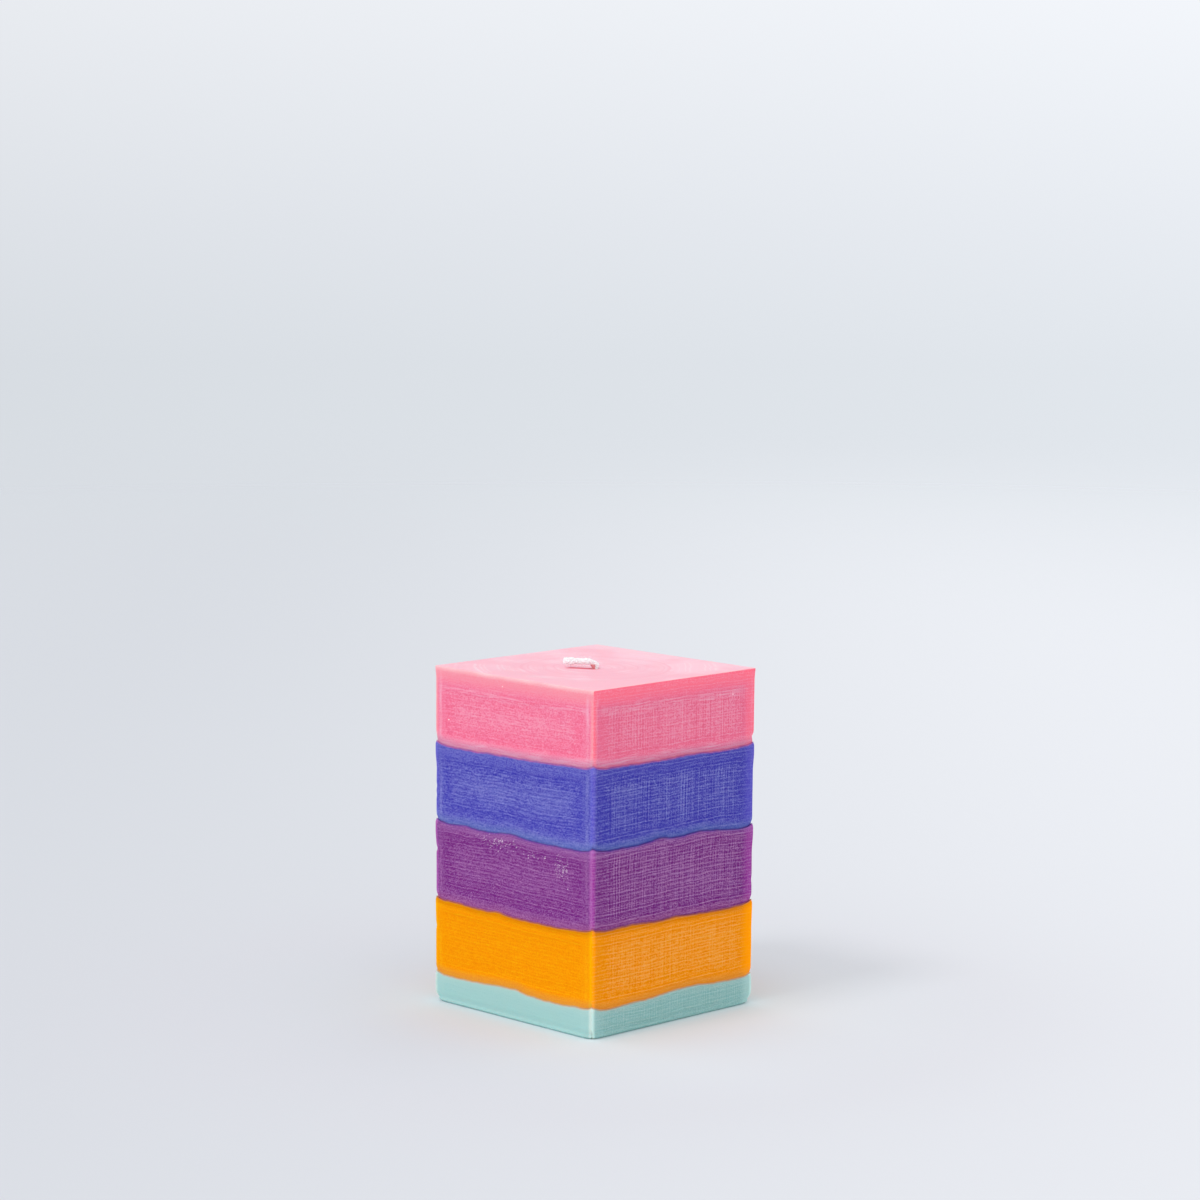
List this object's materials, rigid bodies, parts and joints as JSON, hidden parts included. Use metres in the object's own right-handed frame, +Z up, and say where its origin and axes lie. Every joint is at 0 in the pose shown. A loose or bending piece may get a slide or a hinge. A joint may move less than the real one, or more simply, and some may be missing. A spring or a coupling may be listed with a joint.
{
  "type": "layered square pillar candle",
  "caption": "Square pillar candle poured in coloured layers with wavy seams, a shallow round dish in its top and a braided cotton wick bent over to one side.",
  "frame": {"origin": "middle of the base, on the surface the candle stands on", "axes": "+Z up along the wick; X and Y square to the side walls"},
  "size_m": [0.0666, 0.0666, 0.1028],
  "materials": {
    "mint_wax": "pale mint wax, satin and slightly translucent, nearly free of frosting",
    "orange_wax": "bright orange wax, satin border with fine pale frosted strokes inside it",
    "purple_wax": "deep purple wax, satin border with fine pale frosted strokes inside it",
    "indigo_wax": "indigo wax, satin border with fine pale frosted strokes inside it",
    "pink_wax": "pink wax, satin border with pale frosted strokes, paler on the top face",
    "wick_cotton": "white braided cotton, waxed, frayed at its cut end"
  },
  "bodies": {
    "root": {"mint_base_layer": "mint_wax", "orange_layer": "orange_wax", "purple_layer": "purple_wax", "indigo_layer": "indigo_wax", "pink_top_layer": "pink_wax", "wick": "wick_cotton"}
  },
  "joints": []
}
